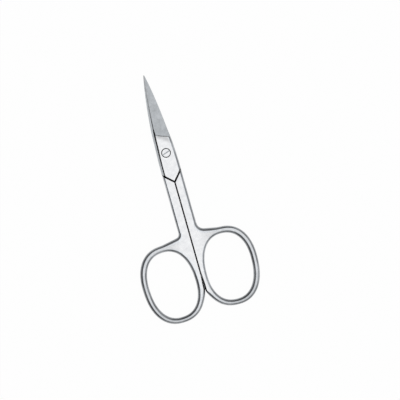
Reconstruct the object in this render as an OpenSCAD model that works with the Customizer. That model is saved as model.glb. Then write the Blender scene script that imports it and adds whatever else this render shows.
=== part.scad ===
// Cuticle scissors: two crossed steel halves, each with a finger ring, lapped at the joint and
// turning on a slotted screw. The blades are straight, slim and ground flat on their outer faces.
// Frame: the pivot axis is Z, the tips point to +Y, the screw head faces +Z and the scissors lie
// flat on z = 0. Sizes are in millimetres. They are drawn closed.

/* [Stock] */
// Thickness of the shanks, the rings and the two lapped plates together
stock_t = 3.0; // [2.4:0.1:3.6]
// Half the width over both shanks
shank_half_w = 3.65; // [3.3:0.05:4.0]
// Width of the rounded outer edges, seen from above
edge_w = 1.0; // [0.7:0.05:1.1]

/* [Blades] */
// Length of the blades, from the pivot to the tips
blade_len = 29.4; // [24:0.2:34]
// Width across the closed tips
tip_w = 0.3; // [0.2:0.05:0.6]
// Half width that the outline heads for as it leaves the tip
tip_aim_w = 1.9; // [1.5:0.1:2.4]
// How far behind the tip the outline reaches that aim
tip_aim_back = 7.4; // [6:0.2:9]
// How far behind the pivot the outline has its full width
taper_end = 6; // [4:0.5:6.5]
// How far ahead of that place the outline is still nearly straight
taper_ease = 12; // [9:0.5:14]
// Strip of the other half that shows beside the cutting edge at the joint
strip_w = 0.9; // [0.6:0.05:1.1]
// Width of the bevel on the cutting edge and on the plate's free side
bevel_w = 0.3; // [0.15:0.05:0.4]
// Height of the ground face over the blade's flat side, at the spine of its root
ground_spine = 1.15; // [0.9:0.05:1.2]
// The same height at the cutting edge of the root
ground_edge = 0.6; // [0.45:0.05:0.8]
// The same height at the tip
ground_tip = 0.3; // [0.2:0.05:0.4]
// Distance ahead of the pivot where the grinding starts, at the spine
ground_spine_y = 5.45; // [4.5:0.1:6.5]
// Distance ahead of the pivot where the grinding starts, at the cutting edge
ground_edge_y = 7.6; // [6.8:0.1:9]
// Length of the slope that ends the ground face
ground_step = 0.4; // [0.2:0.05:0.8]

/* [Joint] */
// Gap between the two lapped plates
lap_gap = 0.04; // [0.02:0.01:0.1]
// Gap between the halves at the shoulders and along the shanks
seam_gap = 0.2; // [0.1:0.02:0.3]
// Distance behind the pivot where the two shoulders meet
apex_back = 10.6; // [9.6:0.1:11.6]
// Distance behind the pivot where a shoulder bends
knee_back = 8.0; // [7.6:0.1:8.4]
// Distance from the middle where a shoulder bends
knee_x = 2.9; // [2.6:0.05:3.1]
// Distance behind the pivot where a shoulder reaches the outer edge
shoulder_back = 6.9; // [6.6:0.1:7.3]
// Width of the groove that marks the shoulders
groove_w = 0.5; // [0.3:0.05:0.7]
// Width of the small groove where the shanks meet
split_groove_w = 0.4; // [0.3:0.05:0.6]
// Distance of the shanks' meeting line from the middle
split_x = 0.2; // [0:0.05:0.3]

/* [Pivot screw] */
// Diameter of the head
head_d = 3.1; // [2.8:0.1:3.6]
// Height of the head
head_h = 0.8; // [0.6:0.05:0.9]
// Diameter of the journal that the front half turns on
journal_d = 2.2; // [1.8:0.1:2.4]
// Diameter of the end in the back half
thread_d = 1.8; // [1.4:0.1:2.0]
// Width of the driver slot
slot_w = 0.42; // [0.3:0.02:0.6]
// Depth of the driver slot
slot_depth = 0.45; // [0.3:0.05:0.5]
// Direction of the driver slot, from the X axis
slot_angle = 18; // [0:1:180]
// Radial clearance round the head
head_clear = 0.1; // [0.05:0.01:0.15]
// Radial clearance of the journal in the front half
journal_clear = 0.04; // [0.02:0.01:0.08]
// Radial clearance of the threaded end in the back half
thread_clear = 0.02; // [0.01:0.01:0.04]
// Chamfer on the head and on the mouth of its seat
rim_chamfer = 0.12; // [0.05:0.01:0.2]

/* [Finger rings] */
// Width of a ring's hole
hole_w = 17.0; // [15:0.5:19]
// Length of a ring's hole
hole_l = 24.5; // [21:0.5:27]
// Squareness of the rings: 2 is an ellipse
ring_power = 2.3; // [2:0.1:2.6]
// Lean of each ring's upper end away from the middle
ring_lean = 3; // [0:0.5:5]
// Width of a ring's sides
ring_side = 2.4; // [2.2:0.05:2.8]
// Width of a ring's ends
ring_end = 2.3; // [2.2:0.05:2.8]
// How much the ring is wider at its upper end than at its lower end
ring_lift = 0.2; // [0:0.05:0.4]
// Distance of the rings' centres from the middle
ring_x = 10.85; // [10.8:0.05:11.1]
// Distance of the rings' centres behind the pivot
ring_back = 46.4; // [44:0.2:50]
// How much further back the left ring's centre is than the right one's
ring_stagger = 1.0; // [0:0.1:1.5]
// Fall of the arm's upper outline from the shank to the top of its ring
arm_drop = 1.4; // [0.8:0.1:2]
// Length over which the outline turns in the crotch of the left shank and its ring
crotch_left = 1.4; // [0.6:0.1:3]
// Length over which the outline turns in the crotch of the right shank and its ring
crotch_right = 2.6; // [0.6:0.1:3]

/* [Hidden] */

steel = "#c9ccce";
mid_z = stock_t / 2;
// Chamfer that each half's split face has of the groove
split_chamfer = (split_groove_w - seam_gap) / 2;
// Flats along the middle of the rounded edges, which keep their two curves apart
edge_land = 0.2;
// Steps of each curve of a rounded edge
edge_steps = 4;
// Stations along the blade's outline
blade_steps = 22;
// Stations round the free part of a ring, from the split round the outside to its top
ring_steps = 32;
// Stations along the curve in a crotch, and down the face where the rings meet
crotch_steps = 5;
split_steps = 5;
// How far cuts reach past the steel, and how far a bevel's slope is carried on past it
over = 4;
bevel_over = 0.2;

function bezier(a, b, c, d, t) =
    pow(1 - t, 3) * a + 3 * t * pow(1 - t, 2) * b + 3 * t * t * (1 - t) * c + pow(t, 3) * d;

// The closed blades' outline as [half width, y], from the tips to the widest place
tip_point = [tip_w / 2, blade_len];
tip_aim = [tip_aim_w, blade_len - tip_aim_back];
joint_aim = [shank_half_w, taper_ease - taper_end];
joint_point = [shank_half_w, -taper_end];
outline = [for (i = [0:blade_steps]) bezier(tip_point, tip_aim, joint_aim, joint_point, i / blade_steps)];

// Half width of the closed pair at y, and x of a half's cutting edge or free plate edge:
// it lies inside the outline by nothing at the tip and by the whole strip at the joint
function half_w(y) = lookup(y, [for (i = [blade_steps:-1:0]) [outline[i].y, outline[i].x]]);
function edge_x(y) = half_w(y) - strip_w * (1 - pow(max(y, 0) / blade_len, 2));

// The ground face is the plane through its heights at the root's two corners and at the tip
root_spine = [-half_w(ground_spine_y), ground_spine_y, ground_spine];
root_edge = [edge_x(ground_edge_y), ground_edge_y, ground_edge];
ground_normal = cross([0, blade_len, ground_tip] - root_spine, root_edge - root_spine);
function ground_z(x, y) = mid_z + ground_spine
    - (ground_normal.x * (x - root_spine.x) + ground_normal.y * (y - root_spine.y)) / ground_normal.z;

// One quarter of an edge, as [inset, height over the middle]: a rounding of the given width,
// or the small chamfer of the split face where the width is 0
function edge_quarter(width) = [
    for (i = [0:edge_steps])
        let (
            a = 90 * i / edge_steps,
            low = edge_land / 2,
            step = (mid_z - split_chamfer - low) / (edge_steps - 1)
        )
            width > 0 ? [width * (1 - cos(a)), low + (mid_z - low) * sin(a)]
            : i < edge_steps ? [0, low + i * step]
            : [split_chamfer, mid_z]
];

// Section between two edges, up the first and down the second. Each edge is its point in plan,
// the direction into the steel and the width of its rounding, which is 0 on the split face
function section(first, second) =
    let (
        rise = function (edge) [
            for (s = [-1, 1], i = [0:edge_steps])
                let (
                    q = edge_quarter(edge[2])[s < 0 ? edge_steps - i : i],
                    p = edge[0] + q[0] * edge[1]
                )
                    [p.x, p.y, mid_z + s * q[1]]
        ],
        up = rise(first),
        down = rise(second)
    )
    concat(up, [for (i = [1:len(down)]) down[len(down) - i]]);

// Skin of a solid through a row of sections, which hold the same number of points in the same order
module loft(sections, closed = false) {
    n = len(sections[0]);
    rows = len(sections);
    sides = [
        for (i = [0:rows - (closed ? 1 : 2)], j = [0:n - 1])
            let (
                a = i * n + j,
                b = i * n + (j + 1) % n,
                c = (a + n) % (rows * n),
                d = (b + n) % (rows * n)
            )
                each [[a, d, b], [a, c, d]]
    ];
    caps = closed ? [] : [[for (j = [0:n - 1]) j], [for (j = [0:n - 1]) rows * n - 1 - j]];
    polyhedron([for (s = sections) each s], concat(sides, caps));
}

// The closed pair's bar with rounded edges, from the tips to the end of a shank
module blank(shank_end) {
    function width_of(w) = min(edge_w, 0.8 * w);
    loft([
        for (p = concat(outline, [[shank_half_w, shank_end]]))
            section([p, [-1, 0], width_of(p.x)], [[-p.x, p.y], [1, 0], width_of(p.x)])
    ]);
}

function left_of(v) = [-v.y, v.x] / norm(v);

// Point of an upright superellipse at angle t, leaned out and moved to a ring's centre
function oval(ring_y, half, t) =
    let (
        part = function (v) sign(v) * pow(abs(v), 2 / ring_power),
        p = [half.x * part(cos(t)), half.y * part(sin(t))],
        c = cos(ring_lean),
        s = sin(ring_lean)
    )
    [ring_x + c * p.x + s * p.y, ring_y - s * p.x + c * p.y];
function oval_inward(ring_y, half, t) = left_of(oval(ring_y, half, t + 1) - oval(ring_y, half, t - 1));

function ring_top(ring_y) = ring_y + ring_lift + hole_l / 2 + ring_end;
function shank_end(ring_y, crotch) = ring_top(ring_y) + arm_drop + crotch + 1;

// Outer edge of the arm and the web, from the ring's top along the arm, up the shank's side,
// across its end and down the face where the halves meet
function web_edge(face_x, ring_y, crotch) =
    let (
        top = [ring_x, ring_top(ring_y)],
        corner = [shank_half_w, top.y + arm_drop],
        arm = (corner - top) / norm(corner - top),
        on_arm = corner - crotch * arm,
        on_shank = corner + [0, crotch],
        end_y = shank_end(ring_y, crotch)
    )
    concat(
        [[(top + on_arm) / 2, left_of(arm), edge_w]],
        [
            for (i = [0:crotch_steps])
                let (
                    t = i / crotch_steps,
                    along = (1 - t) * (corner - on_arm) + t * (on_shank - corner),
                    p = pow(1 - t, 2) * on_arm + 2 * t * (1 - t) * corner + t * t * on_shank
                )
                    [p, left_of(along), edge_w]
        ],
        [[[shank_half_w, end_y], [-1, 0], edge_w]],
        [for (i = [0:split_steps - 1]) [[face_x, end_y + (ring_y - end_y) * i / split_steps], [1, 0], 0]]
    );

// Outer edge of the ring's free part, flattened where it would reach past the face
function ring_edge(face_x, ring_y) =
    let (half = [hole_w / 2 + ring_side, hole_l / 2 + ring_end])
    [
        for (i = [0:ring_steps])
            let (
                t = 180 + 270 * i / ring_steps,
                p = oval(ring_y + ring_lift, half, t),
                free = max(p.x - face_x, 0)
            )
                [[face_x + free, p.y], oval_inward(ring_y, half, t), min(edge_w, 3 * free)]
    ];

// End of a shank with its arm, web and ring: one skin that runs round the ring's hole
module handle(split, ring_y, crotch) {
    face_x = split + seam_gap / 2;
    half = [hole_w / 2, hole_l / 2];
    web = web_edge(face_x, ring_y, crotch);
    ring = ring_edge(face_x, ring_y);
    function hole_edge(t) = [oval(ring_y, half, t), -oval_inward(ring_y, half, t), edge_w];
    loft(
        concat(
            [for (i = [0:len(web) - 1]) section(hole_edge(90 + 90 * (i + 1) / (len(web) + 1)), web[i])],
            [for (i = [0:ring_steps]) section(hole_edge(180 + 270 * i / ring_steps), ring[i])]
        ),
        closed = true
    );
}

// The shoulder line of one side, from the apex out past the edge
function shoulder(split, side) =
    let (slope = (knee_back - shoulder_back) / (shank_half_w - knee_x))
        [
            [split, -apex_back],
            [side * knee_x, -knee_back],
            [side * (shank_half_w + over), -shoulder_back + slope * over]
        ];

// Room for the other half's plate and blade: all that lies ahead of this half's shoulder
module plate_room(split) {
    far = blade_len + over;
    translate([seam_gap / 2, -seam_gap / 5])
        polygon(concat([[-far, far], [-far, -apex_back]], shoulder(split, 1), [[far, far]]));
}

// Room for the other half's shank, behind its own shoulder
module shank_room(split) {
    far = blade_len + over;
    translate([seam_gap / 2, seam_gap / 5])
        polygon(concat([[-far, -far], [split, -far]], shoulder(split, -1), [[-far, -shoulder_back]]));
}

// Everything beside the free edge of the plate and the cutting edge, with the bevel's slope
module beside_edge() {
    far = shank_half_w + over;
    start = -knee_back - over;
    function wedge(y, at, top) =
        let (x = edge_x(at), extra = bevel_w * bevel_over / (top - mid_z))
            [
                [x + extra, y, mid_z - bevel_over],
                [far, y, mid_z - bevel_over],
                [far, y, stock_t + over],
                [x - bevel_w - extra, y, stock_t + over],
                [x - bevel_w - extra, y, top + bevel_over]
            ];
    blade_y = [for (p = outline) if (p.y > ground_edge_y) p.y];
    plate_y = [for (p = outline) if (p.y < ground_edge_y - ground_step) p.y];
    loft(concat(
        [wedge(blade_len + over, blade_len, ground_z(0, blade_len))],
        [for (y = blade_y) wedge(y, y, ground_z(edge_x(y), y))],
        [wedge(ground_edge_y, ground_edge_y, mid_z + ground_edge)],
        [wedge(ground_edge_y - ground_step, ground_edge_y - ground_step, stock_t)],
        [for (y = plate_y) wedge(y, y, stock_t)],
        [wedge(start, -taper_end, stock_t)]
    ));
}

// What grinding takes off the blade's outer face, ending in a short slope at the root
module above_ground_face() {
    along = root_edge - root_spine;
    dir = [along.x, along.y] / norm([along.x, along.y]);
    back = [dir.y, -dir.x];
    high = stock_t + over;
    wide = shank_half_w + over;
    spine = [root_spine.x, root_spine.y] - over * dir;
    edge = [root_edge.x, root_edge.y] + over * dir;
    far = blade_len + over;
    plan = [spine, edge, [wide, far], [-wide, far]];
    floor_z = [for (p = plan) ground_z(p.x, p.y)];
    function lean(i) = i > 1 ? 0 : ground_step * (high - floor_z[i]) / (stock_t - floor_z[i]);
    low_ring = [for (i = [0:3]) [plan[i].x, plan[i].y, floor_z[i]]];
    high_ring = [for (i = [0:3]) let (p = plan[i] + lean(i) * back) [p.x, p.y, high]];
    loft([low_ring, high_ring]);
}

// A V-shaped groove along a path, cut half its width deep in a face at height z
module groove(path, width, z) {
    depth = width / 2;
    for (i = [0:len(path) - 2]) {
        run = path[i + 1] - path[i];
        translate([path[i].x, path[i].y, z])
            rotate(atan2(run.y, run.x))
                translate([-depth / 2, 0, 0])
                    rotate([90, 0, 90])
                        linear_extrude(norm(run) + depth)
                            polygon([[-depth, 0], [0, -depth], [depth, 0], [0, depth]]);
    }
}

// Bar of one half: its shank, its lap plate and its blade
module bar(split, end_y) {
    shoulders = concat([for (i = [2:-1:1]) shoulder(split, 1)[i]], shoulder(split, -1));
    difference() {
        blank(end_y);
        translate([0, 0, -over])
            linear_extrude(over + mid_z + lap_gap / 2)
                plate_room(split);
        intersection() {
            translate([0, 0, -2 * over])
                linear_extrude(stock_t + 4 * over)
                    plate_room(split);
            beside_edge();
        }
        translate([0, 0, -over])
            linear_extrude(stock_t + 2 * over)
                shank_room(split);
        above_ground_face();
        for (z = [0, stock_t]) {
            groove(shoulders, groove_w, z);
            groove([[split, -apex_back], [split, end_y - over]], split_groove_w, z);
        }
    }
}

// One half without its pivot hole, drawn with its own shank on the right and its plate on top
module half(split, ring_y, crotch) {
    bar(split, shank_end(ring_y, crotch));
    handle(split, ring_y, crotch);
}

module front_half() {
    seat_r = head_d / 2 + head_clear;
    color(steel)
    difference() {
        mirror([1, 0, 0])
            half(-split_x, -ring_back - ring_stagger / 2, crotch_left);
        translate([0, 0, -over])
            cylinder(h = stock_t + 2 * over, r = journal_d / 2 + journal_clear, $fn = 64);
        translate([0, 0, stock_t - head_h - lap_gap])
            cylinder(h = head_h + over, r = seat_r, $fn = 64);
        translate([0, 0, stock_t - rim_chamfer])
            cylinder(h = 2 * rim_chamfer, r1 = seat_r, r2 = seat_r + 2 * rim_chamfer, $fn = 64);
    }
}

module back_half() {
    color(steel)
    difference() {
        translate([0, 0, stock_t])
            mirror([0, 0, 1])
                half(split_x, -ring_back + ring_stagger / 2, crotch_right);
        translate([0, 0, -over])
            cylinder(h = stock_t + 2 * over, r = thread_d / 2 + thread_clear, $fn = 64);
    }
}

module pivot_screw() {
    color("silver")
    difference() {
        union() {
            cylinder(h = mid_z, r = thread_d / 2, $fn = 64);
            translate([0, 0, mid_z - lap_gap / 2])
                cylinder(h = mid_z + lap_gap / 2 - head_h, r = journal_d / 2, $fn = 64);
            translate([0, 0, stock_t - head_h])
                cylinder(h = head_h - rim_chamfer, r = head_d / 2, $fn = 64);
            translate([0, 0, stock_t - rim_chamfer])
                cylinder(h = rim_chamfer, r1 = head_d / 2, r2 = head_d / 2 - rim_chamfer, $fn = 64);
        }
        rotate(slot_angle)
            translate([-head_d, -slot_w / 2, stock_t - slot_depth])
                cube([2 * head_d, slot_w, slot_depth + over]);
    }
}

front_half();
back_half();
pivot_screw();
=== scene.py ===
"""Cuticle scissors: the looks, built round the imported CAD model.

Each half is one ground and polished steel blank: a bar with a pointed blade and a lap plate, and a
handle with a finger ring. It is worked out with its own shank on the right and its plate on top,
and is then mirrored into place. Lengths are in millimetres until they go into a mesh, which is in
metres.
"""

import math

import bmesh
import bpy
import numpy as np
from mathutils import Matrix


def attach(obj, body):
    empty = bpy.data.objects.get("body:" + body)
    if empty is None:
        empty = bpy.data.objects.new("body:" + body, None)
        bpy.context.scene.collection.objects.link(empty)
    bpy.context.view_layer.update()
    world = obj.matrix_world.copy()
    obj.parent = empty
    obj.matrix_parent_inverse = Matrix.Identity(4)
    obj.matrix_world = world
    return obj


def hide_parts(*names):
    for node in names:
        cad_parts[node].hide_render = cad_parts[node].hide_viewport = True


MM = 0.001
UM = 1e-6
PER_M = 1000

# As in the CAD model: the blank
STOCK_T = 3.0
MID_Z = STOCK_T / 2
SHANK_HALF_W = 3.65
SPLIT_X = 0.2
LAP_GAP = 0.04
EDGE_W = 1.0
EDGE_LAND = 0.2

# As in the CAD model: the blades and the lap plates
BLADE_LEN = 29.4
TIP_W = 0.3
TIP_AIM_W = 1.9
TIP_AIM_BACK = 7.4
TAPER_END = 6.0
TAPER_EASE = 12.0
STRIP_W = 0.9
BEVEL_W = 0.3
GROUND_SPINE = 1.15
GROUND_EDGE = 0.6
GROUND_TIP = 0.3
GROUND_EDGE_Y = 7.6
KNEE_X = 2.9

# As in the CAD model: the pivot screw and its holes
HEAD_D = 3.1
HEAD_H = 0.8
JOURNAL_D = 2.2
THREAD_D = 1.8
SLOT_W = 0.42
SLOT_DEPTH = 0.45
SLOT_ANGLE = math.radians(18)
HEAD_CLEAR = 0.1
JOURNAL_CLEAR = 0.04
THREAD_CLEAR = 0.02
RIM_CHAMFER = 0.12

# As in the CAD model: the rings and their arms
HOLE_W = 17.0
HOLE_L = 24.5
RING_POWER = 2.3
RING_LEAN = math.radians(3)
RING_SIDE = 2.4
RING_END = 2.3
RING_LIFT = 0.2
RING_X = 10.85
RING_BACK = 46.4
RING_STAGGER = 1.0
ARM_DROP = 1.4
CROTCH_LEFT = 1.4
CROTCH_RIGHT = 2.6

# The rest of the sizes are the scene's own, or differ by less than half a millimetre from those of
# the CAD model. Here: the seam, the shoulder lines and the grooves along them
SEAM_GAP = 0.02
SHOULDER_GAP = SEAM_GAP / 3
APEX_BACK = 11.05
KNEE_BACK = 7.9
SHOULDER_BACK = 7.15
LINE_KNEE = (2.75, -8.4)
LINE_SLOPE = 1.5
GROOVE_W = 0.68
END_GROOVE_W = 0.86
END_GROOVE_DEPTH = 1.6
SPLIT_GROOVE_W = 0.56
SPLIT_CHAMFER = (SPLIT_GROOVE_W - SEAM_GAP) / 2

# The strip beside the plate gets narrower towards the shoulder
STRIP_NARROW = 0.21
STRIP_FROM = 10.5
STRIP_OVER = 3.5

# The sloping side of the plate: its width at the shoulder and at the blade, over how much of the
# blade it narrows to the bevel, and where its top drops from the plate to the ground face
WALL_W = 0.47
WALL_END_W = 0.62
WALL_FADE = 2.4
WALL_DROP = (7.2, 7.42)

# The root of the ground face: where it meets the spine, where its line bends and how wide its
# sloping step is
GROUND_SPINE_Y = 5.25
GROUND_BEND = np.array([1.2, 7.0])
GROUND_BEND_R = 1.0
STEP_SPINE_W = 0.32
STEP_BEND_W = 0.22
STEP_LEAST = 0.3

# The blades lean a little to the left of the shanks
BLADE_LEAN = 0.2
LEAN_FROM = 2.0
LEAN_TO = 10.0

# Roundings: a swell is how much wider one gets on its wide side. Near the tips a rounding takes no
# more than a share of the half width, and round a ring the two leave a little of the wire flat
HOLE_ROUND = 1.2
HOLE_SWELL = 0.3
RING_ROUND = 0.95
RING_SWELL = 0.55
ARM_SWELL = 0.55
WIDE_TOWARDS = (0.85, -0.5)
TIP_SHARE = 0.8
WIRE_SHARE = 0.97

# Where the rings come near each other they are drawn together and are less rounded
TOUCH = 0.42
TOUCH_REACH = 1.3
TOUCH_ROUND = 0.62
TOUCH_ANGLE = 0.3

# Painted shade in the crevice between the rings: how far it reaches from the split face, and from which
# height
CREVICE = (0.3, 0.95)
CREVICE_RISE = (0.35, 0.85)

# The chamfer of the screw's end, the shank's run above the crotch, how much of the split's chamfer
# gets painted shade, and how far past a line a point still lies on it
END_CHAMFER = 0.06
SHANK_RUN = 1.0
CHAMFER_SHARE = 0.9
HAIR = 0.01

# Fineness of the surfaces
EDGE_STEPS = 9
BLADE_STEPS = 64
CURVE_STEPS = 400
BEND_STEPS = 8
RING_STEPS = 132
ARM_STEPS = 12
CROTCH_STEPS = 12
SPLIT_STEPS = 14
ROUND_STEPS = 96

# How far cutters reach past the steel
OVER = 4.0
BEVEL_OVER = 0.2

# In metres: how near each other points of one skin are merged, how near points are welded where a
# bar meets its handle, and how near that plane they lie on it
MERGE = 1e-8
WELD = 2e-7
ON_PLANE = 1e-7

# What counts as level, as steep and as square to x, from the parts of a face's normal
LEVEL = 0.9995
STEEP = 0.9
SQUARE = 0.95

# Shading breaks at edges sharper than this, and level faces outweigh their roundings by this rank
SHARP = math.radians(26)
RANK = 16384

# Material slots of every half, in order. RECESS carries painted shade in grooves, holes and chamfers
FLAT, GROUND, ROUNDED, RECESS, BEVEL = SLOTS = range(5)

# The noise at which a streak is darkest and lightest, and how much its roughness varies
STREAK_DARK = 0.36
STREAK_LIGHT = 0.62
ROUGH_VARIES = 0.2

# Greys that the steel's colour is multiplied by, all painted shade: a rounding's by its slope, from
# upright to level, in patches of this size where it is painted stronger or weaker, and the crevice's
SLOPE_SHADE_STOPS = [(0.0, 0.8), (0.45, 0.65), (0.68, 0.34), (0.88, 0.34), (0.97, 1.0)]
SHADE_PATCH_MM = 7.0
CREVICE_SHADE_GREY = 0.01

# The painted shade on the plate ahead of the pivot: its grey, the y that it comes in over, and how much
# that line slants
PLATE_SHADE_GREY = 0.68
PLATE_SHADE_Y = (4.0, 6.0)
PLATE_SHADE_SLANT = 0.6

# The grey of the painted shade out beside the shanks and at the rings' bottoms, and the distances from
# the middle and y it comes in over
OUTER_SHADE_GREY = 0.82
OUTER_SHADE_X = (3.8, 7.5)
OUTER_SHADE_Y = (-50.0, -58.0)

# The plate's side goes from painted black shade to bare steel over these y, with a ragged limit
SIDE_SHADE_Y = (8.0, 26.0)
RAGGED = 2.0
SIDE_SHADE_STOPS = [(0.0, "#050505"), (0.25, "#55585a"), (0.5, "#b6b8ba"), (1.0, "#d8dadc")]
BARE = [(0.0, 0.0), (0.5, 1.0)]
BEVEL_GRAIN_MM = 0.8

# The painted groove shade's colours by its grain
GROOVE_SHADE_STOPS = [(0.3, "#040404"), (0.75, "#141415")]
GROOVE_SHADE_GRAIN_MM = 0.35

# The room's light from the horizon to overhead, on the left and on the right, the direction of the
# right wall, and how far round towards it the one goes over into the other
LEFT_WALL = [(0.0, 0.25), (0.70, 0.25), (0.92, 1.3), (0.96, 1.3), (1.0, 1.0)]
RIGHT_WALL = [(0.0, 0.8), (0.70, 0.8), (0.95, 1.02), (1.0, 1.0)]
RIGHT = (0.85, -0.53, 0.0)
ROUND_ROOM = (-0.3, 0.6)

# The floor: its half width, how far it is below the part, and how white the camera and the
# reflections see it
FLOOR_HALF = 3000.0
FLOOR_DROP = 0.02
FLOOR_SEEN = 0.97
FLOOR_MIRRORED = 0.45

# The photograph: 400 pixels across show this width, seen from straight above, with the tips
# leaning to the left
VIEW_WIDTH = 146.0
VIEW_CENTRE = (7.23, -19.87)
VIEW_TURN = math.radians(15.78)
CAMERA_HEIGHT = 1200.0
CAMERA_CLIP = (0.05, 10.0)


def linear(hex_colour):
    """An sRGB hex colour as linear red, green, blue and alpha."""
    values = [int(hex_colour[i : i + 2], 16) / 255 for i in (1, 3, 5)]
    return [v / 12.92 if v <= 0.04045 else ((v + 0.055) / 1.055) ** 2.4 for v in values] + [1.0]


def unit(v):
    """v at length 1: each vector over its own length."""
    return v / np.linalg.norm(v, axis=-1, keepdims=True)


def left_of(v):
    """The direction a quarter turn to the left of v."""
    return unit(np.stack([-v[..., 1], v[..., 0]], -1))


def parabola(start, aim, end, t):
    """Points from start, aimed at aim, to end, as t goes from 0 to 1: the three points' mean with
    the weights (1 - t)^2, 2 t (1 - t) and t^2."""
    return (1 - t) ** 2 * start + 2 * t * (1 - t) * aim + t**2 * end


def outline(steps):
    """The closed pair's half width and y from the tips to the widest place: one cubic curve from
    the tip, aimed at a point behind it, to the joint, which it meets along the shank."""
    points = np.array(
        [
            [TIP_W / 2, BLADE_LEN],
            [TIP_AIM_W, BLADE_LEN - TIP_AIM_BACK],
            [SHANK_HALF_W, TAPER_EASE - TAPER_END],
            [SHANK_HALF_W, -TAPER_END],
        ]
    )
    t = np.linspace(0, 1, steps + 1)[:, None]
    weights = np.hstack([(1 - t) ** 3, 3 * t * (1 - t) ** 2, 3 * t**2 * (1 - t), t**3])
    return weights @ points


def half_w(y):
    """Half width of the closed pair at y, read off its outline."""
    curve = outline(CURVE_STEPS)[::-1]
    return np.interp(y, curve[:, 1], curve[:, 0])


def edge_x(y):
    """x of the cutting edge, or of the plate's free edge behind it: the half width less a strip
    that narrows with the square of y to nothing at the tip, and a little towards the shoulder."""
    narrower = STRIP_NARROW * np.clip((STRIP_FROM - y) / STRIP_OVER, 0, 1)
    return half_w(y) - STRIP_W * (1 - (np.maximum(y, 0) / BLADE_LEN) ** 2) + narrower


def ground_corners():
    """The ground face's corner at the spine and its corner at the cutting edge."""
    spine = np.array([-half_w(GROUND_SPINE_Y), GROUND_SPINE_Y, GROUND_SPINE])
    edge = np.array([edge_x(GROUND_EDGE_Y), GROUND_EDGE_Y, GROUND_EDGE])
    return spine, edge


def ground_z(x, y):
    """Height of the ground face: the plane through its two corners and the tip."""
    spine, edge = ground_corners()
    n = np.cross(np.array([0, BLADE_LEN, GROUND_TIP]) - spine, edge - spine)
    return MID_Z + spine[2] - (n[0] * (x - spine[0]) + n[1] * (y - spine[1])) / n[2]


def lean(y):
    """Shift of the blades to the left at y, easing in from the joint along 3 t^2 - 2 t^3."""
    t = np.clip((y - LEAN_FROM) / (LEAN_TO - LEAN_FROM), 0, 1)
    return BLADE_LEAN * t * t * (3 - 2 * t)


def edge_profile(width):
    """Inset and height of an edge from its bottom to its top, for an array of rounding widths.
    A rounding is two quarters of an ellipse with a narrow land between them. Where the width is 0
    it is the split face, with a small chamfer at both ends."""
    a = np.linspace(0, math.pi / 2, EDGE_STEPS + 1)
    low = EDGE_LAND / 2
    width = np.asarray(width, float)[..., None]
    inset = width * (1 - np.cos(a))
    height = np.broadcast_to(low + (MID_Z - low) * np.sin(a), inset.shape)
    square_inset = np.where(a == a[-1], SPLIT_CHAMFER, 0.0)
    square_height = np.where(a == a[-1], MID_Z, MID_Z - SPLIT_CHAMFER)
    square = width <= 0
    inset = np.where(square, square_inset, inset)
    height = np.where(square, square_height, height)
    inset = np.concatenate([inset[..., ::-1], inset], -1)
    height = np.concatenate([MID_Z - height[..., ::-1], MID_Z + height], -1)
    return inset, height


def rise(points, inward, width):
    """The points of an edge from its bottom to its top, for a row of stations: each station's plan
    point, moved inward by the profile's inset."""
    inset, height = edge_profile(width)
    plan = points[:, None, :] + inset[..., None] * inward[:, None, :]
    return np.concatenate([plan, height[..., None]], -1)


def sections(first, second):
    """Sections between two edges, up the first and down the second."""
    return np.concatenate([rise(*first), rise(*second)[:, ::-1]], 1)


def loft(rows, closed=False):
    """Vertices and faces of the skin through rows of points, with flat ends unless it closes."""
    count, n = rows.shape[:2]
    index = np.arange(count * n).reshape(count, n)
    following = np.roll(index, -1, 0) if closed else index[1:]
    index = index if closed else index[:-1]
    quads = np.stack([index, np.roll(index, -1, 1), np.roll(following, -1, 1), following], -1)
    faces = quads.reshape(-1, 4).tolist()
    if not closed:
        faces += [list(range(n))[::-1], list(range((count - 1) * n, count * n))]
    return rows.reshape(-1, 3), faces


def read(items, name, width=1, kind=np.float32):
    """A value of all of a mesh's vertices or faces, as an array."""
    values = np.empty(len(items) * width, kind)
    items.foreach_get(name, values)
    return values if width == 1 else values.reshape(-1, width).astype(float)


def paint(piece, chosen, material):
    """Give the chosen faces of a piece a material number."""
    faces = piece.data.polygons
    numbers = np.where(chosen, material, read(faces, "material_index", kind=np.int32))
    faces.foreach_set("material_index", numbers.astype(np.int32))


def new_mesh(name, vertices, faces, material=FLAT):
    """A mesh object from points in millimetres, with its doubles merged, its faces turned outwards
    and one material number all over."""
    mesh = bpy.data.meshes.new(name)
    mesh.from_pydata((np.asarray(vertices) * MM).tolist(), [], faces)
    for _ in SLOTS:
        mesh.materials.append(None)
    work = bmesh.new()
    work.from_mesh(mesh)
    bmesh.ops.remove_doubles(work, verts=work.verts, dist=MERGE)
    bmesh.ops.dissolve_degenerate(work, edges=work.edges, dist=MERGE)
    if work.calc_volume(signed=True) < 0:
        bmesh.ops.reverse_faces(work, faces=work.faces)
    work.to_mesh(mesh)
    work.free()
    piece = bpy.data.objects.new(name, mesh)
    bpy.context.scene.collection.objects.link(piece)
    paint(piece, True, material)
    return piece


def evaluated(piece):
    """Turn a piece's modifiers into its own mesh."""
    graph = bpy.context.evaluated_depsgraph_get()
    mesh = bpy.data.meshes.new_from_object(piece.evaluated_get(graph), depsgraph=graph)
    piece.modifiers.clear()
    old, piece.data = piece.data, mesh
    bpy.data.meshes.remove(old)
    return piece


def carve(piece, *cutters, operation="DIFFERENCE"):
    """Cut a piece with others, which are used up. Cut faces keep the cutter's material number."""
    for cutter in cutters:
        step = piece.modifiers.new("cut", "BOOLEAN")
        step.object = cutter
        step.operation = operation
        step.solver = "EXACT"
    evaluated(piece)
    for cutter in cutters:
        mesh = cutter.data
        bpy.data.objects.remove(cutter)
        bpy.data.meshes.remove(mesh)
    return piece


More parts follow.
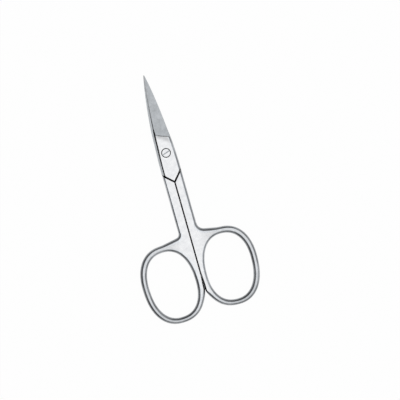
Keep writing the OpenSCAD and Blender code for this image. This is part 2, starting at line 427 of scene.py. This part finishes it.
def prism(name, plan, low, high, material=FLAT):
    """A closed prism over an outline in plan."""
    plan = np.asarray(plan, float)
    ends = [np.column_stack([plan, np.full(len(plan), z)]) for z in (low, high)]
    return new_mesh(name, *loft(np.stack(ends)), material)


def turned(name, profile, material=FLAT):
    """A closed body of revolution about Z: the profile's radius times the cosine and sine of the
    angle, at the profile's height. The profile starts and ends on the axis."""
    radius, height = np.asarray(profile, float).T
    a = np.linspace(0, 2 * math.pi, ROUND_STEPS, endpoint=False)[:, None]
    rows = np.stack([radius * np.cos(a), radius * np.sin(a), height + 0 * a], -1)
    index = np.arange(rows.shape[0] * rows.shape[1]).reshape(rows.shape[:2])
    following = np.roll(index, -1, 0)
    quads = np.stack([index[:, :-1], following[:, :-1], following[:, 1:], index[:, 1:]], -1)
    return new_mesh(name, rows.reshape(-1, 3), quads.reshape(-1, 4).tolist(), material)


def groove(name, start, end, width, z, depth):
    """A bar with a diamond section, which cuts a V into a face at height z. It reaches a quarter of
    its width past both ends."""
    start, end = np.asarray(start, float), np.asarray(end, float)
    along = unit(end - start)
    side = width / 2 * left_of(along)
    ends = np.stack([start - width / 4 * along, end + width / 4 * along])
    plan = ends[:, None] + np.array([[-1], [0], [1], [0]]) * side
    heights = np.broadcast_to(z + depth * np.array([0, -1, 0, 1]), plan.shape[:2])
    # The groove's faces get painted shade: the near-black groove material
    return new_mesh(name, *loft(np.concatenate([plan, heights[..., None]], -1)), RECESS)


def blank(end_y):
    """The closed pair's bar with rounded edges, from the tips to the end of a shank: sections
    between its outline and the mirror of it."""
    line = np.vstack([outline(BLADE_STEPS), [[SHANK_HALF_W, end_y]]])
    width = np.minimum(EDGE_W, TIP_SHARE * line[:, 0])
    inward = np.tile([-1.0, 0.0], (len(line), 1))
    return loft(sections((line, inward, width), (line * [-1, 1], -inward, width)))


def fuller(v):
    """A sine or cosine as a superellipse has it: to the power 2 / RING_POWER, with its sign."""
    return np.sign(v) * np.abs(v) ** (2 / RING_POWER)


def oval(ring_y, half, t):
    """Points of an upright superellipse at angles t, leaned out and moved to a ring's centre."""
    x, y = half[0] * fuller(np.cos(t)), half[1] * fuller(np.sin(t))
    c, s = math.cos(RING_LEAN), math.sin(RING_LEAN)
    return np.stack([RING_X + c * x + s * y, ring_y - s * x + c * y], -1)


def oval_inward(ring_y, half, t):
    """Directions into an oval at angles t, square to the line through its points on both sides."""
    step = math.radians(1)
    return left_of(oval(ring_y, half, t + step) - oval(ring_y, half, t - step))


def ring_top(ring_y):
    """y of the top of a ring's outer oval."""
    return ring_y + RING_LIFT + HOLE_L / 2 + RING_END


def shank_end(ring_y, crotch):
    """y where a bar ends and its handle starts, a short run above the crotch."""
    return ring_top(ring_y) + ARM_DROP + crotch + SHANK_RUN


def web_edge(face_x, ring_y, crotch):
    """Outer edge of the arm and the web: along the arm, round the crotch on a parabola, up the
    shank's side, across its end and down the split face. Its rounding goes from the ring's to the
    shank's and swells between them as a half sine wave."""
    top = np.array([RING_X, ring_top(ring_y)])
    corner = np.array([SHANK_HALF_W, top[1] + ARM_DROP])
    arm = unit(corner - top)
    on_arm = corner - crotch * arm
    on_shank = corner + [0, crotch]
    end_y = shank_end(ring_y, crotch)
    s = np.linspace(0, 1, ARM_STEPS, endpoint=False)[1:, None]
    straight = top + s * (on_arm - top)
    t = np.linspace(0, 1, CROTCH_STEPS + 1)[:, None]
    bend = parabola(on_arm, corner, on_shank, t)
    along = (1 - t) * (corner - on_arm) + t * (on_shank - corner)
    face_y = np.linspace(end_y, ring_y, SPLIT_STEPS, endpoint=False)[:, None]
    face = np.hstack([np.full_like(face_y, face_x), face_y])
    points = np.vstack([straight, bend, [[SHANK_HALF_W, end_y]], face])
    inward = np.vstack(
        [
            np.tile(left_of(arm), (len(straight), 1)),
            left_of(along),
            [[-1.0, 0.0]],
            np.tile([1.0, 0.0], (len(face), 1)),
        ]
    )
    first = RING_ROUND + RING_SWELL / 2
    u = np.linspace(0, 1, len(straight) + len(bend) + 1)[1:]
    width = first + (EDGE_W - first) * u + ARM_SWELL * np.sin(math.pi * u)
    return points, inward, np.r_[width, EDGE_W, np.zeros(len(face))]


def ring_edge(face_x, ring_y, away):
    """Outer edge of the ring's free part, flattened where it would reach past the split face or
    comes very near it: its distance from the face is less by a bell curve of itself. Its rounding
    is wider where it looks away from the direction given, and narrow where the rings touch."""
    half = (HOLE_W / 2 + RING_SIDE, HOLE_L / 2 + RING_END)
    t = np.linspace(math.pi, 2.5 * math.pi, RING_STEPS + 1)
    points = oval(ring_y + RING_LIFT, half, t)
    free = points[:, 0] - face_x
    free = np.maximum(free - TOUCH * np.exp(-np.square(free / TOUCH_REACH)), 0)
    points[:, 0] = face_x + free
    inward = oval_inward(ring_y, half, t)
    width = RING_ROUND + RING_SWELL * np.maximum(inward @ away, 0)
    least = np.interp(t - math.pi, [0, TOUCH_ANGLE], [SPLIT_CHAMFER, TOUCH_ROUND])
    return points, inward, np.minimum(width, least + free)


def handle(split, ring_y, crotch, away):
    """End of a shank with its arm, web and ring: one skin of sections between the hole and the
    outer edge, which runs round the hole. Its roundings are wider where they look away from the
    direction given, and never overlap. Each flat side of the web is one face."""
    face_x = split + SEAM_GAP / 2
    half = (HOLE_W / 2, HOLE_L / 2)
    web, ring = web_edge(face_x, ring_y, crotch), ring_edge(face_x, ring_y, away)
    count = len(web[0])
    t = np.r_[
        math.pi / 2 * (1 + np.arange(1, count + 1) / (count + 1)),
        np.linspace(math.pi, 2.5 * math.pi, RING_STEPS + 1),
    ]
    points, outward = oval(ring_y, half, t), -oval_inward(ring_y, half, t)
    hole_width = HOLE_ROUND + HOLE_SWELL * outward @ away
    outer, inward, width = [np.concatenate(pair) for pair in zip(web, ring)]
    room = np.linalg.norm(outer - points, axis=1) / (width + hole_width)
    fit = np.minimum(1, WIRE_SHARE * room)
    rows = sections((points, outward, fit * hole_width), (outer, inward, fit * width))
    vertices, faces = loft(rows, closed=True)
    n = rows.shape[1]
    stations = np.arange(-1, count + 1) % len(rows)
    flats = ((n // 2 - 1, n // 2), (n - 1, 0))
    webbed = np.concatenate([stations[:-1] * n + first for first, second in flats])
    faces = np.delete(faces, webbed, 0).tolist()
    for first, second in flats:
        faces.append([*(stations * n + second), *(stations[::-1] * n + first)])
    return vertices, faces


def shoulder(split, side):
    """The shoulder line of one side, from the apex out past the edge."""
    slope = (KNEE_BACK - SHOULDER_BACK) / (SHANK_HALF_W - KNEE_X)
    return np.array(
        [
            [split, -APEX_BACK],
            [side * KNEE_X, -KNEE_BACK],
            [side * (SHANK_HALF_W + OVER), -SHOULDER_BACK + slope * OVER],
        ]
    )


def shoulder_drawn(split):
    """The same line as it is drawn on the front of its own side, a little lower."""
    knee = np.array(LINE_KNEE)
    return np.array([[split, -APEX_BACK], knee, knee + OVER * unit(np.array([1, LINE_SLOPE]))])


def plate_room(split):
    """Plan of all that lies ahead of this half's shoulder."""
    far = BLADE_LEN + OVER
    plan = np.vstack([[[-far, far], [-far, -APEX_BACK]], shoulder(split, 1), [[far, far]]])
    return plan + [SEAM_GAP / 2, -SHOULDER_GAP]


def shank_room(split):
    """Plan of the other half's shank, behind its own shoulder."""
    far = BLADE_LEN + OVER
    plan = np.vstack([[[-far, -far], [split, -far]], shoulder(split, -1), [[-far, -SHOULDER_BACK]]])
    return plan + [SEAM_GAP / 2, SHOULDER_GAP]


def beside_edge():
    """Everything beside the plate's free edge and the cutting edge: sections along y whose inner
    side slopes in by the wall's or the bevel's width between the lap plane and the face above."""
    y = outline(BLADE_STEPS)[:, 1]
    high_y, low_y = WALL_DROP
    blade_y, plate_y = y[y > low_y], y[y < high_y]
    place = np.r_[BLADE_LEN + OVER, blade_y, low_y, high_y, plate_y, -KNEE_BACK - OVER]
    at = np.r_[BLADE_LEN, blade_y, low_y, high_y, plate_y, -TAPER_END]
    top = np.r_[
        ground_z(0, BLADE_LEN),
        ground_z(edge_x(blade_y), blade_y),
        MID_Z + GROUND_EDGE,
        np.full(len(plate_y) + 2, STOCK_T),
    ]
    x = edge_x(at)
    along = [-TAPER_END, low_y, low_y + WALL_FADE]
    width = np.interp(at, along, [WALL_W, WALL_END_W, BEVEL_W])
    extra = width * BEVEL_OVER / (top - MID_Z)
    wide = np.full_like(x, SHANK_HALF_W + OVER)
    high = np.full_like(x, STOCK_T + OVER)
    low = np.full_like(x, MID_Z - BEVEL_OVER)
    inner = x - width - extra
    corners = [(x + extra, low), (wide, low), (wide, high), (inner, high), (inner, top + BEVEL_OVER)]
    rows = np.stack([np.stack([corner_x, place, corner_z], -1) for corner_x, corner_z in corners], 1)
    return new_mesh("beside_edge", *loft(rows), BEVEL)


def ground_boundary():
    """Plan of the line where the ground face starts: straight from the spine over most of the
    width, then bending forwards to the cutting edge on a parabola."""
    spine, edge = [corner[:2] for corner in ground_corners()]
    along, onward = unit(GROUND_BEND - spine), unit(edge - GROUND_BEND)
    t = np.linspace(0, 1, BEND_STEPS + 1)[:, None]
    before, after = GROUND_BEND - GROUND_BEND_R * along, GROUND_BEND + GROUND_BEND_R * onward
    curve = parabola(before, GROUND_BEND, after, t)
    return np.vstack([spine - OVER * along, curve, edge + OVER * onward])


def above_ground_face():
    """What grinding takes off the blade's outer face. Its floor is the ground plane, and its wall
    at the root leans back from the boundary, in proportion to its height."""
    line = ground_boundary()
    high = STOCK_T + OVER
    wide, far = SHANK_HALF_W + OVER, BLADE_LEN + OVER
    plan = np.vstack([line, [[wide, far], [-wide, far]]])
    back = np.vstack([-left_of(np.gradient(line, axis=0)), [[0, 0], [0, 0]]])
    floor_z = ground_z(plan[:, 0], plan[:, 1])
    width = np.interp(plan[:, 0], [-SHANK_HALF_W, GROUND_BEND[0]], [STEP_SPINE_W, STEP_BEND_W])
    slope = width / np.maximum(STOCK_T - floor_z, STEP_LEAST)
    top = plan + (slope * (high - floor_z))[:, None] * back
    rows = [np.column_stack([plan, floor_z]), np.column_stack([top, np.full(len(plan), high)])]
    piece = new_mesh("above_ground_face", *loft(np.stack(rows)), GROUND)
    normal, centre = [read(piece.data.polygons, name, 3) for name in ("normal", "center")]
    x, y = centre[:, 0] / MM, centre[:, 1] / MM
    # The root's steep wall gets painted shade: the near-black groove material in the concave corner
    paint(piece, (np.abs(normal[:, 2]) < STEEP) & (y < GROUND_EDGE_Y) & (x < GROUND_BEND[0]), RECESS)
    return piece


def bar(split, end_y):
    """Bar of one half: its shank, its lap plate and its blade."""
    piece = new_mesh("bar", *blank(end_y))
    ahead = prism("ahead", plate_room(split), -2 * OVER, STOCK_T + 2 * OVER)
    carve(
        piece,
        prism("room", plate_room(split), -OVER, MID_Z + LAP_GAP / 2, GROUND),
        carve(beside_edge(), ahead, operation="INTERSECT"),
        prism("other_shank", shank_room(split), -OVER, STOCK_T + OVER, GROUND),
        above_ground_face(),
    )
    own, other = shoulder(split, 1), shoulder(split, -1)
    cuts = []
    for z, line in ((0, own), (STOCK_T, shoulder_drawn(split)), (STOCK_T, other)):
        cuts.append(groove("shoulder", line[0], line[1], GROOVE_W, z, GROOVE_W / 2))
        cuts.append(groove("shoulder_end", line[1], line[2], END_GROOVE_W, z, END_GROOVE_DEPTH))
    for z in (0, STOCK_T):
        end = [split, end_y - OVER]
        cuts.append(groove("split", own[0], end, SPLIT_GROOVE_W, z, SPLIT_GROOVE_W / 2))
    return carve(piece, *cuts)


def bore_front():
    """The front half's pivot hole: the journal's bore, the head's seat and its chamfered mouth."""
    bore, seat = JOURNAL_D / 2 + JOURNAL_CLEAR, HEAD_D / 2 + HEAD_CLEAR
    floor_z = STOCK_T - HEAD_H - LAP_GAP
    wide = seat + RIM_CHAMFER + OVER
    # The bore's faces get painted shade: the near-black groove material
    return turned(
        "bore",
        [
            [0, -OVER],
            [bore, -OVER],
            [bore, floor_z],
            [seat, floor_z],
            [seat, STOCK_T - RIM_CHAMFER],
            [wide, STOCK_T + OVER],
            [0, STOCK_T + OVER],
        ],
        RECESS,
    )


def bore_back():
    """The back half's hole for the screw's end."""
    r = THREAD_D / 2 + THREAD_CLEAR
    # The bore's faces get painted shade: the near-black groove material
    return turned("bore", [[0, -OVER], [r, -OVER], [r, STOCK_T + OVER], [0, STOCK_T + OVER]], RECESS)


def grip(split, ring_y, crotch, away):
    """The handle as a piece, with its split face ground and the split's chamfers painted dark as shade.
    """
    piece = new_mesh("grip", *handle(split, ring_y, crotch, away))
    normal, centre = [read(piece.data.polygons, name, 3) for name in ("normal", "center")]
    x, y = centre[:, 0] / MM, centre[:, 1] / MM
    near = (x < split + SEAM_GAP / 2 + CHAMFER_SHARE * SPLIT_CHAMFER) & (y > ring_y)
    near &= np.abs(normal[:, 2]) < STEEP
    square = np.abs(normal[:, 0]) > SQUARE
    paint(piece, near & square, GROUND)
    # The chamfers beside the split get painted shade
    paint(piece, near & ~square, RECESS)
    return piece


def weld(piece, other, end_y):
    """Join another piece to a piece where both end at end_y: the end faces go and the points there
    merge."""
    work = bmesh.new()
    work.from_mesh(piece.data)
    work.from_mesh(other.data)
    bpy.data.objects.remove(other)
    at_end = [v for v in work.verts if abs(v.co.y - end_y * MM) < ON_PLANE]
    ends = [f for f in work.faces if set(at_end).issuperset(f.verts)]
    bmesh.ops.delete(work, geom=ends, context="FACES")
    bmesh.ops.remove_doubles(work, verts=[v for v in at_end if v.is_valid], dist=WELD)
    work.to_mesh(piece.data)
    work.free()


def half(name, split, ring_y, crotch, bore, signs, lift):
    """One half, mirrored into place by signs and lift: each point times the signs, raised by the
    lift and moved left by the lean. It marks where painted shade goes in the crevice beside the other
    ring, from 0 to 1, by the distance from the split face and the height over the ring's middle."""
    end_y = shank_end(ring_y, crotch)
    piece = carve(bar(split, end_y), bore)
    away = np.array(WIDE_TOWARDS) * [signs[0], 1]
    weld(piece, grip(split, ring_y, crotch, away), end_y)
    mesh = piece.data
    points = read(mesh.vertices, "co", 3)
    x, y, z = points.T / MM
    crevice = np.interp(x - split - SEAM_GAP / 2, CREVICE, [1, 0])
    crevice *= np.interp(np.abs(z - MID_Z), CREVICE_RISE, [0, 1])
    crevice *= y < ring_y + HAIR
    points = points * signs + [0, 0, lift * MM]
    points[:, 0] -= lean(y) * MM
    mesh.vertices.foreach_set("co", points.astype(np.float32).ravel())
    if np.prod(signs) < 0:
        mesh.flip_normals()
    mesh.update()
    # Where painted shade goes in the crevice, from 0 to 1
    marked = mesh.attributes.new("crevice", "FLOAT", "POINT")
    marked.data.foreach_set("value", crevice.astype(np.float32))
    piece.name = name
    return piece


def screw():
    """The pivot screw: a plain end, a journal and a flush head with a slot and a chamfer."""
    end, journal, head = THREAD_D / 2, JOURNAL_D / 2, HEAD_D / 2
    step_z = MID_Z - LAP_GAP / 2
    piece = turned(
        "pivot_screw_turned",
        [
            [0, 0],
            [end - END_CHAMFER, 0],
            [end, END_CHAMFER],
            [end, step_z],
            [journal, step_z],
            [journal, STOCK_T - HEAD_H],
            [head, STOCK_T - HEAD_H],
            [head, STOCK_T - RIM_CHAMFER],
            [head - RIM_CHAMFER, STOCK_T],
            [0, STOCK_T],
        ],
    )
    along = np.array([math.cos(SLOT_ANGLE), math.sin(SLOT_ANGLE)])
    corners = ((-1, -1), (1, -1), (1, 1), (-1, 1))
    plan = [u * HEAD_D * along + v * SLOT_W / 2 * left_of(along) for u, v in corners]
    return carve(piece, prism("slot", plan, STOCK_T - SLOT_DEPTH, STOCK_T + OVER, GROUND))


def paint_faces(piece):
    """Give each face its finish: recesses and ground faces keep the cutter's, faces that lie in the
    stock's two flat sides are flat steel, and what curves between them is rounded. Level faces
    also get the higher rank in the shading."""
    mesh = piece.data
    level = np.abs(read(mesh.polygons, "normal", 3)[:, 2]) > LEVEL
    bare = read(mesh.polygons, "material_index", kind=np.int32) == FLAT
    paint(piece, bare & ~level, ROUNDED)
    rank = mesh.attributes.new("__mod_weightednormals_faceweight", "INT", "FACE")
    rank.data.foreach_set("value", np.where(level, RANK, -RANK).astype(np.int32))


def finish_mesh(piece, slots):
    """Smooth shading that breaks at sharp edges, weighted by face area so that flat faces stay flat
    beside their roundings."""
    mesh = piece.data
    for i, material in enumerate(slots):
        mesh.materials[i] = material
    mesh.polygons.foreach_set("use_smooth", np.ones(len(mesh.polygons), bool))
    mesh.set_sharp_from_angle(angle=SHARP)
    weigh = piece.modifiers.new("weigh", "WEIGHTED_NORMAL")
    weigh.mode = "FACE_AREA"
    weigh.weight = 100
    weigh.keep_sharp = True
    weigh.use_face_influence = True
    return evaluated(piece)


def node(tree, kind, settings=(), **links):
    """Add a node. Settings are its attributes, or a colour ramp's stops, each with a position and a
    grey or a hex colour. Links are inputs by name, or by number as i0, and each is a value, a
    socket or a node, whose first output is meant."""
    made = tree.nodes.new(kind)
    settings = dict(settings)
    stops = settings.pop("stops", [])
    for _ in stops[2:]:
        made.color_ramp.elements.new(0.5)
    for i, (position, colour) in enumerate(stops):
        element = made.color_ramp.elements[i]
        element.position = position
        element.color = linear(colour) if isinstance(colour, str) else [colour] * 3 + [1.0]
    for key, value in settings.items():
        setattr(made, key, value)
    for key, value in links.items():
        numbered = key[0] == "i" and key[1:].isdigit()
        socket = made.inputs[int(key[1:]) if numbered else key.replace("_", " ")]
        value = value.outputs[0] if isinstance(value, bpy.types.Node) else value
        if isinstance(value, bpy.types.NodeSocket):
            tree.links.new(value, socket)
        else:
            socket.default_value = value
    return made


def new_material(name):
    """An empty material and its node tree."""
    material = bpy.data.materials.new(name)
    material.use_nodes = True
    material.node_tree.nodes.clear()
    return material, material.node_tree


def painted_plate_shade(tree, where, colour):
    """Painted shade: flat steel is darker ahead of the pivot screw, towards the blade's ground face.
    The shade starts along a line that slants over the plate, and the other way underneath."""
    x, y, z = node(tree, "ShaderNodeSeparateXYZ", Vector=where).outputs
    above = node(tree, "ShaderNodeMath", {"operation": "SUBTRACT"}, i0=z, i1=MID_Z * MM)
    side = node(tree, "ShaderNodeMath", {"operation": "SIGN"}, i0=above)
    across = node(tree, "ShaderNodeMath", {"operation": "MULTIPLY"}, i0=side, i1=x)
    ahead = node(tree, "ShaderNodeMath", {"operation": "MULTIPLY_ADD"}, i0=across, i1=PLATE_SHADE_SLANT, i2=y)
    grey = node(
        tree,
        "ShaderNodeMapRange",
        {"interpolation_type": "SMOOTHSTEP"},
        Value=ahead,
        From_Min=PLATE_SHADE_Y[0] * MM,
        From_Max=PLATE_SHADE_Y[1] * MM,
        To_Min=1.0,
        To_Max=PLATE_SHADE_GREY,
    )
    return node(tree, "ShaderNodeVectorMath", {"operation": "SCALE"}, i0=colour, Scale=grey)


def painted_slope_shade(tree, where, colour):
    """Painted shade: rounded steel is darker by its slope, with dark lines painted on its steep
    shoulders, more in some patches than in others, and painted black in the crevice. The slope is
    the height part of the piece's own normal, so it is the same from every side."""
    patches = node(tree, "ShaderNodeTexNoise", Vector=where, Scale=PER_M / SHADE_PATCH_MM, Detail=2.0)
    amount = node(
        tree, "ShaderNodeMapRange", Value=patches, From_Min=0.35, From_Max=0.6, To_Min=0.5, To_Max=1.0
    )
    normal = node(tree, "ShaderNodeTexCoord").outputs["Normal"]
    upward = node(tree, "ShaderNodeSeparateXYZ", Vector=normal).outputs["Z"]
    level = node(tree, "ShaderNodeMath", {"operation": "ABSOLUTE"}, i0=upward)
    # Painted shade by slope: the grey that the colour is multiplied by
    slope = node(tree, "ShaderNodeValToRGB", {"stops": SLOPE_SHADE_STOPS}, Fac=level)
    multiply = {"data_type": "RGBA", "blend_type": "MULTIPLY"}
    shaded = node(tree, "ShaderNodeMix", multiply, i0=amount, i6=colour, i7=slope).outputs[2]
    # Painted shade: the crevice between the rings is taken nearly to black
    crevice_shade = node(tree, "ShaderNodeAttribute", {"attribute_name": "crevice"}).outputs["Fac"]
    unshaded = node(tree, "ShaderNodeMapRange", Value=crevice_shade, To_Min=1.0, To_Max=CREVICE_SHADE_GREY)
    return node(tree, "ShaderNodeVectorMath", {"operation": "SCALE"}, i0=shaded, Scale=unshaded)


def painted_outer_shade(tree, where, colour):
    """Painted shade: all steel is a little darker out beside the shanks, and once more at the bottom
    of the rings."""
    place = node(tree, "ShaderNodeSeparateXYZ", Vector=where).outputs
    aside = node(tree, "ShaderNodeMath", {"operation": "ABSOLUTE"}, i0=place["X"])
    for value, (near, far) in ((aside, OUTER_SHADE_X), (place["Y"], OUTER_SHADE_Y)):
        grey = node(
            tree,
            "ShaderNodeMapRange",
            Value=value,
            From_Min=near * MM,
            From_Max=far * MM,
            To_Min=1.0,
            To_Max=OUTER_SHADE_GREY,
        )
        colour = node(tree, "ShaderNodeVectorMath", {"operation": "SCALE"}, i0=colour, Scale=grey)
    return colour


def steel(name, dark, light, rough, streak_mm, streak_long, bump_um, cloud_mm, shade=None):
    """Stainless steel, a full metal. The wheel's streaks run along the blank, so many times longer
    than wide, in its colour, roughness and relief, and hand polishing leaves it faintly cloudy.
    Real streaks are about 0.03 mm wide, and they are drawn coarser so that they show. The shade is
    what else changes this finish's colour."""
    material, tree = new_material(name)
    where = node(tree, "ShaderNodeTexCoord").outputs["Object"]
    fine = PER_M / streak_mm
    long = node(tree, "ShaderNodeMapping", Vector=where, Scale=(fine, fine / streak_long, fine))
    streaks = node(tree, "ShaderNodeTexNoise", Vector=long, Scale=1.0, Detail=5.0, Roughness=0.65)
    cloud = PER_M / cloud_mm
    clouds = node(tree, "ShaderNodeTexNoise", Vector=where, Scale=cloud, Detail=3.0, Roughness=0.6)
    both = node(tree, "ShaderNodeMath", {"operation": "ADD"}, i0=streaks, i1=clouds)
    mean = node(tree, "ShaderNodeMath", {"operation": "MULTIPLY"}, i0=both, i1=0.5)
    stops = [(STREAK_DARK, dark), (STREAK_LIGHT, light)]
    colour = node(tree, "ShaderNodeValToRGB", {"stops": stops}, Fac=mean)
    if shade:
        colour = shade(tree, where, colour)
    roughness = node(
        tree,
        "ShaderNodeMapRange",
        Value=streaks,
        From_Min=0.3,
        From_Max=0.7,
        To_Min=rough * (1 - ROUGH_VARIES),
        To_Max=rough * (1 + ROUGH_VARIES),
    )
    shader = node(
        tree,
        "ShaderNodeBsdfPrincipled",
        # Painted shade on every steel: darker out beside the shanks and at the rings' bottoms
        Base_Color=painted_outer_shade(tree, where, colour),
        Roughness=roughness,
        Normal=node(tree, "ShaderNodeBump", Height=streaks, Strength=1.0, Distance=bump_um * UM),
        Metallic=1.0,
    )
    node(tree, "ShaderNodeOutputMaterial", Surface=shader)
    return material


def flat_steel():
    """The plates, webs and shanks, buffed on a soft wheel: wide, pale and silky, with hardly any
    reflection that the eye can follow."""
    return steel(
        "flat_polished_stainless",
        dark="#dedfe2",
        light="#f2f3f4",
        rough=0.30,
        streak_mm=0.12,
        streak_long=9,
        bump_um=1.2,
        cloud_mm=1.6,
        shade=painted_plate_shade,
    )


def ground_steel():
    """The blades' outer faces and all that was cut square, ground on a belt and left so: a darker,
    even satin that sets the blades off from the plates."""
    return steel(
        "ground_satin_stainless",
        dark="#a4a8ab",
        light="#c4c8cc",
        rough=0.42,
        streak_mm=0.28,
        streak_long=14,
        bump_um=3.0,
        cloud_mm=1.5,
    )


def rounded_steel():
    """The rings, arms and edges, rolled over a wheel by hand: glossier than the flats, with a
    bright line along the top, and dark lines on both sides of it and paler flanks painted by slope."""
    return steel(
        "rounded_polished_stainless",
        dark="#ccd1d6",
        light="#ebeef2",
        rough=0.20,
        streak_mm=0.20,
        streak_long=12,
        bump_um=2.0,
        cloud_mm=1.2,
        shade=painted_slope_shade,
    )


def painted_groove_shade():
    """Painted shade in the grooves, holes and chamfers: a matt, grainy, nearly black film where shade
    falls, which draws the joint's lines. Its grains are drawn coarser than real so that they show."""
    material, tree = new_material("painted_groove_shade_film")
    where = node(tree, "ShaderNodeTexCoord").outputs["Object"]
    grain = node(tree, "ShaderNodeTexNoise", Vector=where, Scale=PER_M / GROOVE_SHADE_GRAIN_MM, Detail=4.0)
    shader = node(
        tree,
        "ShaderNodeBsdfPrincipled",
        Base_Color=node(tree, "ShaderNodeValToRGB", {"stops": GROOVE_SHADE_STOPS}, Fac=grain),
        Roughness=0.9,
        Specular_IOR_Level=0.15,
    )
    node(tree, "ShaderNodeOutputMaterial", Surface=shader)
    return material


def bevel_steel():
    """The steep side beside the edge: painted black shade along the lap plate, a dark line that sets
    the plate off, and clearing to bare ground steel along the blade."""
    material, tree = new_material("bevel_stainless")
    where = node(tree, "ShaderNodeTexCoord").outputs["Object"]
    y = node(tree, "ShaderNodeSeparateXYZ", Vector=where).outputs["Y"]
    grain = node(tree, "ShaderNodeTexNoise", Vector=where, Scale=PER_M / BEVEL_GRAIN_MM, Detail=3.0)
    ragged = node(tree, "ShaderNodeMath", {"operation": "MULTIPLY_ADD"}, i0=grain, i1=RAGGED * MM, i2=y)
    near, far = SIDE_SHADE_Y
    along = node(tree, "ShaderNodeMapRange", Value=ragged, From_Min=near * MM, From_Max=far * MM)
    shader = node(
        tree,
        "ShaderNodeBsdfPrincipled",
        Base_Color=node(tree, "ShaderNodeValToRGB", {"stops": SIDE_SHADE_STOPS}, Fac=along),
        Roughness=0.5,
        Metallic=node(tree, "ShaderNodeValToRGB", {"stops": BARE}, Fac=along),
        Specular_IOR_Level=0.2,
    )
    node(tree, "ShaderNodeOutputMaterial", Surface=shader)
    return material


def white_paper():
    """Matt white paper. The camera sees it as white with a little of the part's shadow, and
    reflections see it a shade darker."""
    material, tree = new_material("white_paper")
    path = node(tree, "ShaderNodeLightPath").outputs
    glossy, through = path["Is Glossy Ray"], path["Is Transmission Ray"]
    mirrored = node(tree, "ShaderNodeMath", {"operation": "MAXIMUM"}, i0=glossy, i1=through)
    part = node(tree, "ShaderNodeMath", {"operation": "MULTIPLY"}, i0=mirrored, i1=FLOOR_MIRRORED)
    seen = node(
        tree,
        "ShaderNodeMath",
        {"operation": "MULTIPLY_ADD"},
        i0=path["Is Camera Ray"],
        i1=FLOOR_SEEN,
        i2=part,
    )
    matt = node(tree, "ShaderNodeBsdfDiffuse", Color=linear("#f7f7f7"))
    white = node(tree, "ShaderNodeEmission", Color=(1, 1, 1, 1), Strength=1.0)
    mixed = node(tree, "ShaderNodeMixShader", i0=seen, i1=matt, i2=white)
    node(tree, "ShaderNodeOutputMaterial", Surface=mixed)
    return material


def make_floor():
    """A wide floor of white paper just under the part: one square."""
    corners = np.array([[-1, -1, 0], [1, -1, 0], [1, 1, 0], [-1, 1, 0]]) * FLOOR_HALF
    mesh = bpy.data.meshes.new("floor")
    mesh.from_pydata(((corners - [0, 0, FLOOR_DROP]) * MM).tolist(), [], [[0, 1, 2, 3]])
    mesh.materials.append(white_paper())
    floor = bpy.data.objects.new("floor", mesh)
    bpy.context.scene.collection.objects.link(floor)


def make_world():
    """Soft light from overhead over darker walls, which draw the lines on rounded steel. The wall on
    the left is the darkest. The camera sees plain white."""
    world = bpy.data.worlds.new("soft_room")
    bpy.context.scene.world = world
    world.use_nodes = True
    tree = world.node_tree
    tree.nodes.clear()
    where = node(tree, "ShaderNodeTexCoord").outputs["Generated"]
    up = node(tree, "ShaderNodeSeparateXYZ", Vector=where).outputs["Z"]
    left = node(tree, "ShaderNodeValToRGB", {"stops": LEFT_WALL}, Fac=up)
    right = node(tree, "ShaderNodeValToRGB", {"stops": RIGHT_WALL}, Fac=up)
    dot = node(tree, "ShaderNodeVectorMath", {"operation": "DOT_PRODUCT"}, i0=where, i1=RIGHT)
    start, end = ROUND_ROOM
    side = node(tree, "ShaderNodeMapRange", Value=dot.outputs["Value"], From_Min=start, From_Max=end)
    level = node(tree, "ShaderNodeMix", {"data_type": "RGBA"}, i0=side, i6=left, i7=right).outputs[2]
    room = node(tree, "ShaderNodeBackground", Color=level, Strength=1.0)
    white = node(tree, "ShaderNodeBackground", Color=(1, 1, 1, 1), Strength=1.0)
    seen = node(tree, "ShaderNodeLightPath").outputs["Is Camera Ray"]
    mixed = node(tree, "ShaderNodeMixShader", i0=seen, i1=room, i2=white)
    node(tree, "ShaderNodeOutputWorld", Surface=mixed)


def make_camera():
    """A long lens straight above, turned so that the tips lean as in the photograph."""
    data = bpy.data.cameras.new("camera")
    data.lens = data.sensor_width * CAMERA_HEIGHT / VIEW_WIDTH
    data.clip_start, data.clip_end = CAMERA_CLIP
    camera = bpy.data.objects.new("camera", data)
    camera.location = [v * MM for v in (*VIEW_CENTRE, CAMERA_HEIGHT)]
    camera.rotation_euler = (0, 0, -VIEW_TURN)
    bpy.context.scene.collection.objects.link(camera)
    bpy.context.scene.camera = camera


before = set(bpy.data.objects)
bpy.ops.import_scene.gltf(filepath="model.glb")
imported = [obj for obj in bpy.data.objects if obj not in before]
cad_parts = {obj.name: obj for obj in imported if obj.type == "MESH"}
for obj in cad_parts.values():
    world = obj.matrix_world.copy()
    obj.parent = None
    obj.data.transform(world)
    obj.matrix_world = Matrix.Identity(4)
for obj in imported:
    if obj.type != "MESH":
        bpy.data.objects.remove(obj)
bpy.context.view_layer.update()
bpy.context.scene.view_settings.view_transform = "Standard"
make_camera()
make_world()
make_floor()

finishes = [flat_steel(), ground_steel(), rounded_steel(), painted_groove_shade(), bevel_steel()]
left_y, right_y = -RING_BACK - RING_STAGGER / 2, -RING_BACK + RING_STAGGER / 2
halves = {
    "front_half": half(
        "front_half_ground", -SPLIT_X, left_y, CROTCH_LEFT, bore_front(), (-1, 1, 1), 0
    ),
    "back_half": half(
        "back_half_ground", SPLIT_X, right_y, CROTCH_RIGHT, bore_back(), (1, 1, -1), STOCK_T
    ),
}
for cad_node, body in (("front_half", "front"), ("back_half", "back")):
    piece = halves[cad_node]
    paint_faces(piece)
    finish_mesh(piece, finishes)
    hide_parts(cad_node)
    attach(piece, body)

pin = screw()
finish_mesh(pin, finishes)
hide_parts("pivot_screw")
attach(pin, "back")
